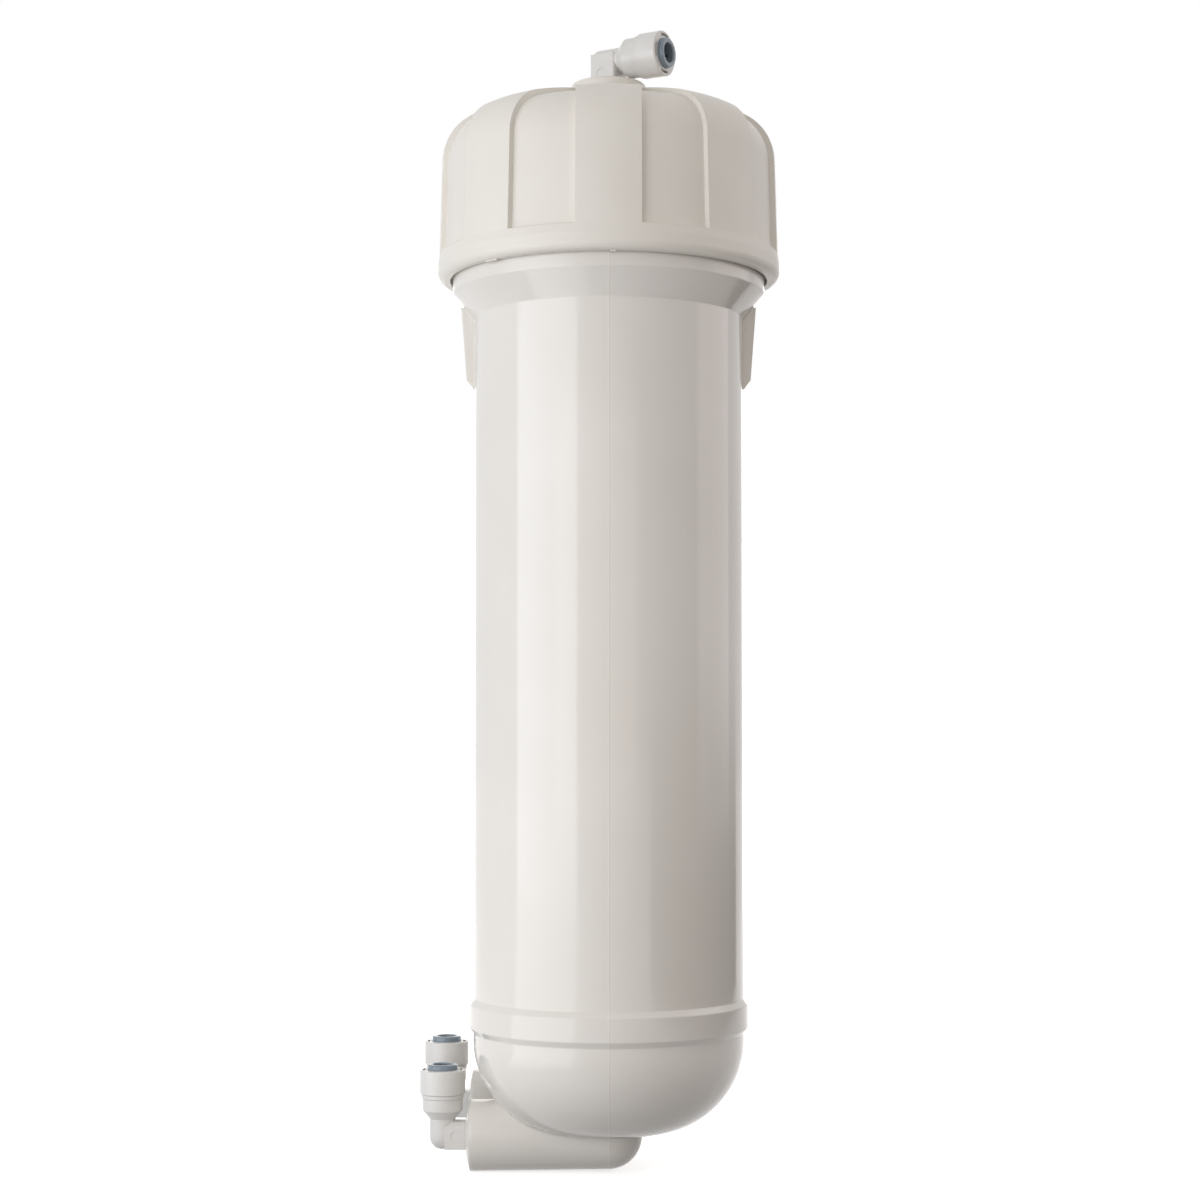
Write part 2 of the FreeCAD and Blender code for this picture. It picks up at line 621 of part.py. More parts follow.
def fitting(port, spot, corner, start, chamfer, turn=None):
    """Elbow fitting: its arm with the tube's socket runs up its own Z axis, and
    its threaded leg along its own X axis. The corner rounds the arm's closed
    end, and the block starts and is chamfered as given."""
    elbow = new_body(port + "_elbow")
    block = outline(elbow, "block", "YZ_Plane", [
        ("-" + BLOCK_HALF, "-stem_radius"),
        (BLOCK_HALF, "-stem_radius"),
        (BLOCK_HALF, "block_top - " + chamfer),
        (BLOCK_HALF + " - " + chamfer, "block_top"),
        ("-" + BLOCK_HALF + " + " + chamfer, "block_top"),
        ("-" + BLOCK_HALF, "block_top - " + chamfer),
    ], shift=("0", "0", start))
    pad(elbow, block, "block_length - " + start)
    # Round mark that the mould's ejector leaves on the block's front.
    mark = circles(elbow, "mark", "XZ_Plane",
                   [("block_length - block_mark_in", "0", "block_mark_radius")],
                   shift=("0", "0", BLOCK_HALF))
    pad(elbow, mark, "block_mark_depth", cut=True)
    shell = outline(elbow, "shell", "XZ_Plane", [
        ("0", "-stem_end"),
        ("stem_radius - " + corner, "-stem_end", corner, 1),
        ("stem_radius", "-stem_end + " + corner),
        ("stem_radius", "stem_rise"),
        (BARREL, BARREL_LOW),
        (BARREL, BEAD_LOW + " - bead_stand"),
        (BARREL + " + bead_stand", BEAD_LOW),
        (BARREL + " + bead_stand", COLLAR_LOW + " - bead_stand"),
        (SPIGOT_RING, COLLAR_LOW),
        (SPIGOT_RING, SPIGOT_RING_TOP),
        ("0", SPIGOT_RING_TOP),
    ])
    revolve(elbow, shell)
    stud = circles(elbow, "stud", "YZ_Plane", [("0", "0", "stud_radius")],
                   shift=("0", "0", "block_length"))
    pad(elbow, stud, "port_depth - stud_end_gap")
    # Inside: the tube's socket with its seal's seat, and the waterway round the bend.
    socket = outline(elbow, "tube_socket", "XZ_Plane", [
        ("0", "0"),
        ("stud_waterway", "0"),
        ("stud_waterway", TUBE_STOP),
        (PILOT, TUBE_STOP),
        (PILOT, TUBE_SEAL_SEAT),
        (TUBE_SEAL_BORE, TUBE_SEAL_SEAT),
        (TUBE_SEAL_BORE, COLLAR_LOW),
        (CARTRIDGE, COLLAR_LOW),
        (CARTRIDGE, SPIGOT_RING_TOP),
        ("0", SPIGOT_RING_TOP),
    ])
    revolve(elbow, socket, cut=True)
    waterway = circles(elbow, "waterway", "YZ_Plane", [("0", "0", "stud_waterway")])
    pad(elbow, waterway, "block_length + port_depth", cut=True, reversed_=True)

    seal = new_body(port + "_tube_seal")
    section = circles(seal, "section", "XZ_Plane", [
        (PILOT + " + tube_seal_section - 2 * seal_gap",
         TUBE_SEAL_SEAT + " + tube_seal_section + seal_gap", "tube_seal_section")])
    revolve(seal, section)

    collar = new_body(port + "_collar")
    lip = COLLET + " + fitting_gap"
    outside = BARREL + " + collar_wall"
    shell = outline(collar, "shell", "XZ_Plane", [
        (BARREL, COLLAR_LOW),
        (outside, COLLAR_LOW),
        (outside, COLLAR_FACE + " - collar_round", "collar_round", 1),
        (outside + " - collar_round", COLLAR_FACE),
        (lip, COLLAR_FACE),
        (lip, COLLAR_FACE + " - collar_lip"),
        (CARTRIDGE, COLLAR_FACE + " - collar_lip"),
        (CARTRIDGE, SPIGOT_RING_TOP + " + fitting_gap"),
        (BARREL, SPIGOT_RING_TOP + " + fitting_gap"),
    ])
    revolve(collar, shell)
    slot_in = lip + " + collar_slot_in"
    slot = outline(collar, "slot", "XZ_Plane", [
        (slot_in, COLLAR_FACE + " - collar_slot_depth"),
        (slot_in + " + collar_slot_width", COLLAR_FACE + " - collar_slot_depth"),
        (slot_in + " + collar_slot_width", COLLAR_FACE),
        (slot_in, COLLAR_FACE),
    ])
    around(collar, revolve(collar, slot, cut=True, angle="collar_slot_angle"),
           "collet_slot_count")

    collet = new_body(port + "_collet")
    shell = outline(collet, "shell", "XZ_Plane", [
        (COLLET_BORE, COLLET_TAIL),
        (BARB, COLLET_TAIL),
        (BARB, COLLET_TAIL + " + collet_barb"),
        (COLLET, COLLET_TAIL + " + collet_barb"),
        (COLLET, COLLET_FACE + " - collet_round", "collet_round", 1),
        (COLLET + " - collet_round", COLLET_FACE),
        (COLLET_BORE + " + collet_round", COLLET_FACE, "collet_round", 1),
        (COLLET_BORE, COLLET_FACE + " - collet_round"),
    ])
    revolve(collet, shell)
    slot = outline(collet, "slot", "XY_Plane", [
        (COLLET_BORE + " / 2", "-collet_slot_width / 2"),
        ("1.2 * " + BARB, "-collet_slot_width / 2"),
        ("1.2 * " + BARB, "collet_slot_width / 2"),
        (COLLET_BORE + " / 2", "collet_slot_width / 2"),
    ], shift=("0", "0", COLLET_TAIL))
    around(collet, pad(collet, slot, "2 * collet_barb", cut=True, reversed_=True),
           "collet_slot_count")

    grab = new_body(port + "_grab_ring")
    low = ("0", "0", COLLET_TAIL + " - grab_ring_thickness")
    land = circles(grab, "land", "XY_Plane", [
        ("0", "0", GRAB_RING), ("0", "0", GRAB_LAND)], shift=low)
    pad(grab, land, "grab_ring_thickness")
    tooth = outline(grab, "tooth", "XY_Plane", [
        (COLLET_BORE, "-grab_tooth_width / 2"),
        ("(" + GRAB_LAND + " + " + GRAB_RING + ") / 2", "-grab_tooth_width / 2"),
        ("(" + GRAB_LAND + " + " + GRAB_RING + ") / 2", "grab_tooth_width / 2"),
        (COLLET_BORE, "grab_tooth_width / 2"),
    ], shift=low)
    around(grab, pad(grab, tooth, "grab_ring_thickness"), "grab_tooth_count")

    for body in (elbow, seal, collar, collet, grab):
        place(body, spot, turn)


def core_tube():
    """Permeate tube: the core that the membrane is wound on, pierced for water."""
    body = new_body("core_tube")
    floor = SOCKET_BORE + " - 2 * seal_gap - 2 * core_seal_section"
    shell = outline(body, "shell", "XZ_Plane", [
        ("core_bore_radius", CORE_FOOT),
        ("core_radius", CORE_FOOT),
        ("core_radius", CORE_TOP),
        ("core_bore_radius", CORE_TOP),
    ])
    revolve(body, shell)
    for name, step in (("lower_groove", ""), ("upper_groove", " + core_seal_step")):
        low = CORE_FOOT + " + core_seal_first - core_groove_width / 2" + step
        groove = outline(body, name, "XZ_Plane", [
            (floor, low),
            ("core_radius", low),
            ("core_radius", low + " + core_groove_width"),
            (floor, low + " + core_groove_width"),
        ])
        revolve(body, groove, cut=True)
    # Water holes in a row, spread over the winding.
    pitch = "((" + WOUND_TOP + " - " + WOUND_FOOT + ") / core_hole_count)"
    hole = circles(body, "water_hole", "XZ_Plane",
                   [("0", WOUND_FOOT + " + " + pitch + " / 2", "core_hole_radius")])
    first = pad(body, hole, "3 * core_radius", midplane=True, cut=True)
    row = body.newObject("PartDesign::LinearPattern", "water_holes")
    row.Originals = [first]
    axis = [o for o in body.Origin.OriginFeatures if o.Role == "Z_Axis"][0]
    row.Direction = (axis, [""])
    row.setExpression("Length", bound(pitch + " * (core_hole_count - 1)"))
    row.setExpression("Occurrences", bound("core_hole_count"))
    body.Tip = row


def core_plug():
    """Plug that shuts the core tube at the feed end."""
    body = new_body("core_plug")
    shell = outline(body, "shell", "XZ_Plane", [
        ("0", CORE_TOP + " - core_plug_depth"),
        ("core_bore_radius - fitting_gap", CORE_TOP + " - core_plug_depth"),
        ("core_bore_radius - fitting_gap", CORE_TOP),
        ("core_radius", CORE_TOP),
        ("core_radius", CORE_TOP + " + core_plug_head"),
        ("0", CORE_TOP + " + core_plug_head"),
    ])
    revolve(body, shell)


def sleeve(label, inner, outer, low, high):
    body = new_body(label)
    shell = outline(body, "shell", "XZ_Plane",
                    [(inner, low), (outer, low), (outer, high), (inner, high)])
    revolve(body, shell)


def end_cap(label, low, grooved):
    """Spoked ring that keeps the winding from telescoping."""
    body = new_body(label)
    high = low + " + end_cap_height"
    hub = outline(body, "hub", "XZ_Plane", [
        ("core_radius + fitting_gap", low), ("end_cap_hub", low),
        ("end_cap_hub", high), ("core_radius + fitting_gap", high)])
    revolve(body, hub)
    spoke = outline(body, "spoke", "XY_Plane", [
        ("(core_radius + end_cap_hub) / 2", "-end_cap_spoke / 2"),
        (END_CAP + " - end_cap_rim / 2 - brine_groove_depth / 2",
         "-end_cap_spoke / 2"),
        (END_CAP + " - end_cap_rim / 2 - brine_groove_depth / 2",
         "end_cap_spoke / 2"),
        ("(core_radius + end_cap_hub) / 2", "end_cap_spoke / 2"),
    ], shift=("0", "0", low))
    around(body, pad(body, spoke, "end_cap_height"), "end_cap_spoke_count")
    rim = outline(body, "rim", "XZ_Plane", [
        (END_CAP + " - end_cap_rim", low), (END_CAP, low),
        (END_CAP, high), (END_CAP + " - end_cap_rim", high)])
    revolve(body, rim)
    if grooved:
        floor = END_CAP + " - brine_groove_depth"
        start = low + " + (end_cap_height - brine_groove_width) / 2"
        groove = outline(body, "brine_groove", "XZ_Plane", [
            (floor, start),
            (END_CAP, start),
            (END_CAP, start + " + brine_groove_width"),
            (floor, start + " + brine_groove_width"),
        ])
        revolve(body, groove, cut=True)


def brine_seal():
    """Lipped ring round the feed end: its lip opens against the feed."""
    body = new_body("brine_seal")
    low = WOUND_TOP + " + (end_cap_height - brine_groove_width) / 2 + seal_gap"
    high = low + " + brine_groove_width - 2 * seal_gap"
    root = END_CAP + " - brine_groove_depth + seal_gap"
    lip = BORE + " - seal_gap"
    shell = outline(body, "shell", "XZ_Plane", [
        (root, low),
        (END_CAP, low),
        (lip, high + " - 2 * brine_lip"),
        (lip, high),
        (lip + " - brine_lip", high),
        (END_CAP + " - brine_lip", low + " + 2 * brine_lip"),
        (root, low + " + 2 * brine_lip"),
    ])
    revolve(body, shell)


vessel_body()
vessel_cap()
ring("cap_seal_ring", SEAL_BORE + " - seal_gap - cap_seal_section",
     SPIGOT_TIP + " + seal_groove_up + seal_groove_width / 2", "cap_seal_section")

core_tube()
core_plug()
sleeve("wound_membrane", "core_radius", WOUND, WOUND_FOOT, WOUND_TOP)
sleeve("outer_wrap", WOUND, WOUND + " + wrap_thickness", WOUND_FOOT, WOUND_TOP)
end_cap("permeate_end_cap", SOCKET_TOP, False)
end_cap("feed_end_cap", WOUND_TOP, True)
brine_seal()
for label, step in (("lower_core_seal", ""), ("upper_core_seal", " + core_seal_step")):
    ring(label, SOCKET_BORE + " - seal_gap - core_seal_section",
         CORE_FOOT + " + core_seal_first" + step, "core_seal_section")

fitting("permeate", ("-" + PERMEATE_RIM + " - boss_crown - block_length",
                     "0", PERMEATE_AXIS), "stem_corner", "block_start", "block_chamfer")
fitting("concentrate", ("-" + CONCENTRATE_RIM + " - boss_crown - block_length",
                        CONCENTRATE_BACK, CONCENTRATE_AXIS),
        "stem_corner", "block_start", "block_chamfer")
feed_turn = math.radians(number("feed_turn"))
arm = Vector(math.cos(feed_turn), -math.sin(feed_turn), 0)
leg = Vector(0, 0, -1)
fitting("feed", ("0", "0", CAP_TOP + " + block_length"),
        "feed_stem_corner", "(-feed_block_over)", "feed_block_chamfer",
        Rotation(leg, arm.cross(leg), arm, "ZXY"))

doc.recompute()
for item in doc.Objects:
    if "Invalid" in item.State or "Error" in item.State:
        raise RuntimeError("%s did not build: %s" % (item.Name, item.State))

os.makedirs("parts", exist_ok=True)
for item in doc.findObjects("PartDesign::Body"):
    shape = item.Shape
    if shape.isNull() or not shape.isValid() or len(shape.Solids) != 1:
        raise RuntimeError("%s is not one valid solid" % item.Label)
    shape.exportStep("parts/%s.step" % item.Label)
    print("%-20s %10.1f mm3" % (item.Label, shape.Volume))
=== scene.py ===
# %% [markdown]
# # A membrane pressure vessel in moulded plastic
# The object is the off-white housing that holds one wound membrane element under
# pressure: a tube with a domed foot, a ribbed screw cap, and three elbows that take
# 1/4 inch tube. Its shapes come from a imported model, so this script gives them their
# surfaces, adds the fine marks that a mould leaves, and lights and frames them.

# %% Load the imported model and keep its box
import json
import math

import bmesh
import bpy
from mathutils import Matrix, Vector
from mathutils.bvhtree import BVHTree


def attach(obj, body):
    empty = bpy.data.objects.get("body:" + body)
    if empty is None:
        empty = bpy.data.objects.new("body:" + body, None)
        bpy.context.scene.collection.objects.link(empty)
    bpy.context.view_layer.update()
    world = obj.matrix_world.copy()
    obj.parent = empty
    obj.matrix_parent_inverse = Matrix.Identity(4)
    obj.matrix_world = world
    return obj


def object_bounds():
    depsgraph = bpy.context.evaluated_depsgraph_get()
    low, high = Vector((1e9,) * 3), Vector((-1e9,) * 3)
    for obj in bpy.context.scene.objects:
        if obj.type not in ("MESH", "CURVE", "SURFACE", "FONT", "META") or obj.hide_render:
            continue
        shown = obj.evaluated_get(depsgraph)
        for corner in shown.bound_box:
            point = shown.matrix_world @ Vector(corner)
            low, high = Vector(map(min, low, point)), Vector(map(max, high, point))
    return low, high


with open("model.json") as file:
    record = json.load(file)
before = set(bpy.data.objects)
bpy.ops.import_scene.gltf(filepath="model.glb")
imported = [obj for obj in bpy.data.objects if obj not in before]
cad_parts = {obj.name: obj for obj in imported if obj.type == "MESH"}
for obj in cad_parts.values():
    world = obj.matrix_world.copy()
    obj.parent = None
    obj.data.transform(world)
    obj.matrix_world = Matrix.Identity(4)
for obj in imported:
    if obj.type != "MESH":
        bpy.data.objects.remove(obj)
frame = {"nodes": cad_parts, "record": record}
cad_low, cad_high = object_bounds()
MM = 0.001
print("pieces in the model:", len(frame["nodes"]))

# %% [markdown]
# ## Colours and nodes
# A colour is easiest to choose on screen, where it is written as six hex digits. The
# renderer counts light instead, so each digit pair is turned to a linear value.
# Materials are small graphs: one helper adds a node, sets it and links its inputs.

# %% Helpers for every material
def linear(code):
    """Linear colour for the renderer from an sRGB hex code."""
    def straighten(value):
        return value / 12.92 if value <= 0.04045 else ((value + 0.055) / 1.055) ** 2.4
    channels = [straighten(int(code[i:i + 2], 16) / 255) for i in (0, 2, 4)]
    return (*channels, 1.0)


def add(tree, kind, inputs=None, **settings):
    """Add a node, set its options, and link or fill the inputs that are named."""
    node = tree.nodes.new(kind)
    for option, value in settings.items():
        setattr(node, option, value)
    for socket, value in (inputs or {}).items():
        if isinstance(value, bpy.types.NodeSocket):
            tree.links.new(value, node.inputs[socket])
        else:
            node.inputs[socket].default_value = value
    return node


def new_material(name, ior=1.5, metallic=0.0):
    """A plain surface: its material, its node tree, its shader and its place in space."""
    material = bpy.data.materials.new(name)
    material.use_nodes = True
    tree = material.node_tree
    shader = tree.nodes["Principled BSDF"]
    shader.inputs["IOR"].default_value = ior
    shader.inputs["Metallic"].default_value = metallic
    place = add(tree, "ShaderNodeTexCoord").outputs["Object"]
    return material, tree, shader, place


print("white in linear light:", linear("ffffff")[:3])

# %% [markdown]
# ## Moulded plastic
# The housing, cap and fittings are injection moulded. Molten plastic that freezes
# against steel copies the steel: a polished mould gives gloss, a sparked one satin.
# Two more things tell the eye that it is plastic and not paint. The wall shrinks a
# little unevenly, so reflections waver over a few centimetres, and the colour has
# faint clouds where the melt flowed. Both are noise at a size in millimetres.
#
# No edge of a moulding is sharp, because the mould maker rounds it so that the piece
# lets go of the steel. Real rounds on every rib would cost many faces. The Bevel node
# only bends the light instead: near an edge it averages the directions of the faces
# around, so a highlight runs along the edge while the mesh keeps its shape.
#
# A noise texture runs from 0 to 1 but seldom leaves the middle of that range, so the
# colours and the gloss are spread over the middle alone.

# %% A recipe for moulded plastic
NOISE_LOW = 0.3
NOISE_HIGH = 0.7


def moulded(name, pale, deep, ior, gloss, dull, ripple, ripple_height, grain, grain_height,
            edge):
    """Moulded plastic. Sizes are in millimetres: the ripple is the wall's slow
    waviness, the grain the fine texture that the mould's steel leaves, and the edge
    the round that its corners have."""
    material, tree, shader, place = new_material(name, ior)
    clouds = add(tree, "ShaderNodeTexNoise", {
        "Vector": place, "Scale": 1 / (ripple * MM), "Detail": 2.0, "Roughness": 0.5})
    tint = add(tree, "ShaderNodeValToRGB", {"Fac": clouds.outputs["Fac"]})
    tint.color_ramp.elements[0].position = NOISE_LOW
    tint.color_ramp.elements[0].color = linear(deep)
    tint.color_ramp.elements[1].position = NOISE_HIGH
    tint.color_ramp.elements[1].color = linear(pale)
    fine = add(tree, "ShaderNodeTexNoise", {
        "Vector": place, "Scale": 1 / (grain * MM), "Detail": 3.0, "Roughness": 0.6})
    sheen = add(tree, "ShaderNodeMapRange", {
        "Value": fine.outputs["Fac"], "From Min": NOISE_LOW, "From Max": NOISE_HIGH,
        "To Min": gloss, "To Max": dull})
    rounded = add(tree, "ShaderNodeBevel", {"Radius": edge * MM}, samples=6)
    waves = add(tree, "ShaderNodeBump", {
        "Height": clouds.outputs["Fac"], "Strength": 1.0, "Distance": ripple_height * MM,
        "Normal": rounded.outputs["Normal"]})
    pores = add(tree, "ShaderNodeBump", {
        "Height": fine.outputs["Fac"], "Strength": 1.0, "Distance": grain_height * MM,
        "Normal": waves.outputs["Normal"]})
    tree.links.new(tint.outputs["Color"], shader.inputs["Base Color"])
    tree.links.new(sheen.outputs["Result"], shader.inputs["Roughness"])
    tree.links.new(pores.outputs["Normal"], shader.inputs["Normal"])
    return material


print("noise is spread from", NOISE_LOW, "to", NOISE_HIGH)

# %% [markdown]
# The vessel is glossy polypropylene from a polished mould, a warm off-white. The cap
# comes from a sparked mould, so it is nearly the same colour but satin. The fittings
# are acetal: a cooler, greyer white with a waxy sheen. Their release collets are the
# same plastic dyed blue-grey.

# %% Four moulded plastics
SMALL_ROUND = 0.7
finishes = {
    "vessel_plastic": moulded("gloss_polypropylene", pale="e4e1dc", deep="e1ded8", ior=1.49,
                              gloss=0.09, dull=0.13, ripple=38.0, ripple_height=0.05,
                              grain=2.2, grain_height=0.0012, edge=SMALL_ROUND),
    "cap_plastic": moulded("satin_polypropylene", pale="e6e3dc", deep="e3dfd8", ior=1.49,
                           gloss=0.40, dull=0.50, ripple=26.0, ripple_height=0.05,
                           grain=0.7, grain_height=0.006, edge=0.4),
    "fitting_plastic": moulded("natural_acetal", pale="dfdedc", deep="d9d8d5", ior=1.48,
                               gloss=0.30, dull=0.38, ripple=9.0, ripple_height=0.02,
                               grain=0.6, grain_height=0.003, edge=0.15),
    "collet_plastic": moulded("blue_grey_acetal", pale="808d99", deep="76838f", ior=1.5,
                              gloss=0.16, dull=0.24, ripple=5.0, ripple_height=0.01,
                              grain=0.5, grain_height=0.003, edge=0.12),
}
print("moulded plastics:", sorted(finishes))

# %% [markdown]
# The mould maker fills the corner where the dome meets its two bosses with a bigger
# round, about two millimetres instead of well under one. The node's radius is a
# socket, so it can change over the piece: it grows where a point lies low on the
# vessel.

# %% A wider round low on the vessel
WIDE_ROUND = 2.2
ROUND_STARTS = -134 * MM
ROUND_IS_WIDE = -142 * MM
housing = finishes["vessel_plastic"].node_tree
on_vessel = add(housing, "ShaderNodeTexCoord").outputs["Object"]
height = add(housing, "ShaderNodeSeparateXYZ", {"Vector": on_vessel})
widen = add(housing, "ShaderNodeMapRange", {
    "Value": height.outputs["Z"], "From Min": ROUND_STARTS, "From Max": ROUND_IS_WIDE,
    "To Min": SMALL_ROUND * MM, "To Max": WIDE_ROUND * MM})
rounding = [node for node in housing.nodes if node.bl_idname == "ShaderNodeBevel"][0]
housing.links.new(widen.outputs["Result"], rounding.inputs["Radius"])
print("corner round in mm, high and low:", SMALL_ROUND, WIDE_ROUND)

# %% [markdown]
# ## The pieces inside
# The element stands in the dark and shows only when the cap is off, but each part
# still gets its own surface. The core tube and the end rings are plain white
# plastic, the seals black rubber, and the grab rings spring steel, whose fine lines
# come from the mill that rolled the strip. They are drawn by stretching a noise until
# its grains are streaks.

# %% Core plastic, rubber and spring steel
finishes["core_plastic"] = moulded("white_core_plastic", pale="ecebe6", deep="e6e5df", ior=1.53,
                                   gloss=0.32, dull=0.42, ripple=14.0, ripple_height=0.02,
                                   grain=0.8, grain_height=0.004, edge=0.3)
finishes["seal_rubber"] = moulded("black_seal_rubber", pale="1b1b1c", deep="141415", ior=1.52,
                                  gloss=0.45, dull=0.62, ripple=6.0, ripple_height=0.01,
                                  grain=0.3, grain_height=0.006, edge=0.1)


def brushed_steel(name, line_width, squeeze, gloss, dull):
    """Spring steel with fine upright lines. The width of a line is in millimetres. The
    squeeze makes height count for less in the noise, so each grain grows to a line."""
    material, tree, shader, place = new_material(name, metallic=1.0)
    shader.inputs["Base Color"].default_value = linear("b9bbbd")
    streaks = add(tree, "ShaderNodeMapping", {"Vector": place, "Scale": (1.0, 1.0, squeeze)})
    lines = add(tree, "ShaderNodeTexNoise", {
        "Vector": streaks.outputs["Vector"], "Scale": 1 / (line_width * MM), "Detail": 2.0})
    shine = add(tree, "ShaderNodeMapRange", {
        "Value": lines.outputs["Fac"], "To Min": gloss, "To Max": dull})
    tree.links.new(shine.outputs["Result"], shader.inputs["Roughness"])
    return material


finishes["spring_steel"] = brushed_steel("rolled_spring_steel", line_width=0.1, squeeze=0.05,
                                         gloss=0.22, dull=0.4)
print("finishes so far:", len(finishes))

# %% [markdown]
# The membrane is a roll of thin leaves with a net spacer between them, so its ends
# show a fine spiral. A wave texture in rings about the axis, bent by how far round
# the axis a point lies, would be a true spiral, and plain rings look much the same.
# They are drawn about five millimetres apart, far coarser than the leaves. The film
# round the roll is clear tape, drawn with one slight step about halfway up.
#
# A wave texture turns through twenty radians for each unit of its scaled place, and a
# whole wave is two pi radians. The scale for a gap in millimetres follows from both.

# %% Wound membrane and its wrap
WAVE_RATE = 20


def layered_film(name, ior, gap, wander, shade, pale, step, strength, roughness, **waves):
    """Film in layers whose edges show as lines. The gap from line to line and the
    height of a line's step are in millimetres."""
    material, tree, shader, place = new_material(name, ior)
    lines = add(tree, "ShaderNodeTexWave", {
        "Vector": place, "Scale": 2 * math.pi / (WAVE_RATE * gap * MM), "Distortion": wander,
        "Detail": 1.0}, **waves)
    tint = add(tree, "ShaderNodeValToRGB", {"Fac": lines.outputs["Fac"]})
    tint.color_ramp.elements[0].color = linear(shade)
    tint.color_ramp.elements[1].color = linear(pale)
    ridge = add(tree, "ShaderNodeBump", {
        "Height": lines.outputs["Fac"], "Strength": strength, "Distance": step * MM})
    shader.inputs["Roughness"].default_value = roughness
    tree.links.new(tint.outputs["Color"], shader.inputs["Base Color"])
    tree.links.new(ridge.outputs["Normal"], shader.inputs["Normal"])
    return material


finishes["membrane_film"] = layered_film(
    "wound_membrane_leaves", ior=1.46, gap=5.0265, wander=0.4, shade="b9b4a2", pale="e9e5d8",
    step=0.1, strength=0.8, roughness=0.6, wave_type="RINGS", rings_direction="Z")
finishes["wrap_film"] = layered_film(
    "clear_wrap_tape", ior=1.5, gap=282.743, wander=0.6, shade="cfd6da", pale="e6ebee",
    step=0.08, strength=0.6, roughness=0.22, wave_type="BANDS", bands_direction="Z",
    wave_profile="SAW")
print("all finishes:", len(finishes))

# %% [markdown]
# ## Put each finish on its pieces
# The record says which finish each piece takes. The pieces keep their meshes and only
# get a material in their slots.

# %% Dress the model's own pieces
for part in frame["record"]["subparts"]:
    for holder in frame["nodes"][part["node"]].material_slots:
        holder.material = finishes[part["material_slot"]]

# %% [markdown]
# ## The mould's parting line
# The vessel's mould opens in two halves, left and right, and a hair of plastic
# creeps between them. It leaves a fine raised line down the middle of the front and
# of the back, over flange, tube, ring, dome and boss. Drawing that line by hand would
# never follow the surface, so it is cut out of the surface itself: two planes a
# fraction of a millimetre apart slice a copy of the vessel, what faces inward is
# thrown away, and the strip that is left is lifted and given a thickness.
#
# A face looks outward when it turns to the front, the back or the floor, and when a
# ray that starts just off it meets nothing more of the vessel.

# %% Helpers that slice a surface
WELD = 0.001 * MM
CUT_SLACK = 0.0001 * MM
TURNED_ENOUGH = 0.2
RAY_START = 0.05 * MM


def slab(source, width):
    """The thin slice of a mesh between two planes either side of x = 0."""
    mesh = bmesh.new()
    mesh.from_mesh(source)
    bmesh.ops.remove_doubles(mesh, verts=mesh.verts, dist=WELD)
    for side in (-1, 1):
        bmesh.ops.bisect_plane(
            mesh, geom=mesh.verts[:] + mesh.edges[:] + mesh.faces[:], dist=CUT_SLACK,
            plane_co=(side * width / 2, 0, 0), plane_no=(side, 0, 0), clear_outer=True)
    return mesh


def faces_out(face, skin):
    """True where a face looks outward and nothing of the piece lies in front of it."""
    middle = face.calc_center_median()
    front = math.copysign(1, middle.y) * face.normal.y
    if front < TURNED_ENOUGH and face.normal.z > -TURNED_ENOUGH:
        return False
    hit = skin.ray_cast(middle + face.normal * RAY_START, face.normal)
    return hit[0] is None


def corners(element):
    """Where the corners of an edge or a face are, as a sorted list."""
    return sorted(vert.co[:] for vert in element.verts)


def settle(shape):
    """Sort edges and faces by their corners, as solidify's order varies from run to run."""
    for elements in (shape.edges, shape.faces):
        for rank, element in enumerate(sorted(elements, key=corners)):
            element.index = rank
        elements.sort()


def to_object(name, shape, material):
    """Turn a bmesh into an object at the origin that wears one material."""
    mesh = bpy.data.meshes.new(name)
    shape.to_mesh(mesh)
    shape.free()
    mesh.materials.append(material)
    piece = bpy.data.objects.new(name, mesh)
    bpy.context.scene.collection.objects.link(piece)
    return piece


print("points closer than this are welded, in mm:", WELD / MM)

# %% Slice the parting line out of the vessel's surface
LINE_WIDTH = 0.3 * MM
LINE_HEIGHT = 0.04 * MM
# The raised line itself is real, but its colour is a little paler than the vessel's: a painted
# highlight along the line where it catches light.
flash_painted_highlight = moulded("polypropylene_flash_painted_highlight", pale="ece9e2", deep="e8e5dd", ior=1.49,
                    gloss=0.2, dull=0.26, ripple=38.0, ripple_height=0.02,
                    grain=2.2, grain_height=0.0012, edge=0.02)
vessel = frame["nodes"]["vessel_body"]
whole = bmesh.new()
whole.from_mesh(vessel.data)
skin = BVHTree.FromBMesh(whole)
whole.free()
line = slab(vessel.data, LINE_WIDTH)
hidden = [face for face in line.faces if not faces_out(face, skin)]
bmesh.ops.delete(line, geom=hidden, context="FACES")
line.normal_update()
for vert in line.verts:
    vert.co += vert.normal * LINE_HEIGHT
bmesh.ops.solidify(line, geom=line.faces[:], thickness=2 * LINE_HEIGHT)
settle(line)
parting_line = to_object("vessel_parting_line", line, flash_painted_highlight)
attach(parting_line, "vessel")
print("parting line faces:", len(parting_line.data.polygons))

# %% [markdown]
# ## Nibs under the cap's rim
# Where plastic enters or leaves the cap's mould, a small tab is broken off and leaves
# a nib. Two of them stand under the rim's edge, a wide one and a narrow one, and they
# catch light in the dark gap. Each is a small box with rounded edges, turned about
# the axis to its place, and it goes round with the cap.

# %% Two nibs that turn with the cap
RIM_FOOT = 136.7 * MM
NIB_RADIUS = 54.2 * MM
NIB_DEPTH = 1.1 * MM
NIB_HEIGHT = 0.9 * MM
NIB_ROUND = 0.15 * MM
NIBS = {"wide": {"angle": 43.6, "width": 5.2 * MM},
        "narrow": {"angle": -1.6, "width": 2.0 * MM}}


def turn(degrees, axis="Z"):
    """A turn about the vessel's upright axis, or about another one."""
    return Matrix.Rotation(math.radians(degrees), 3, axis)


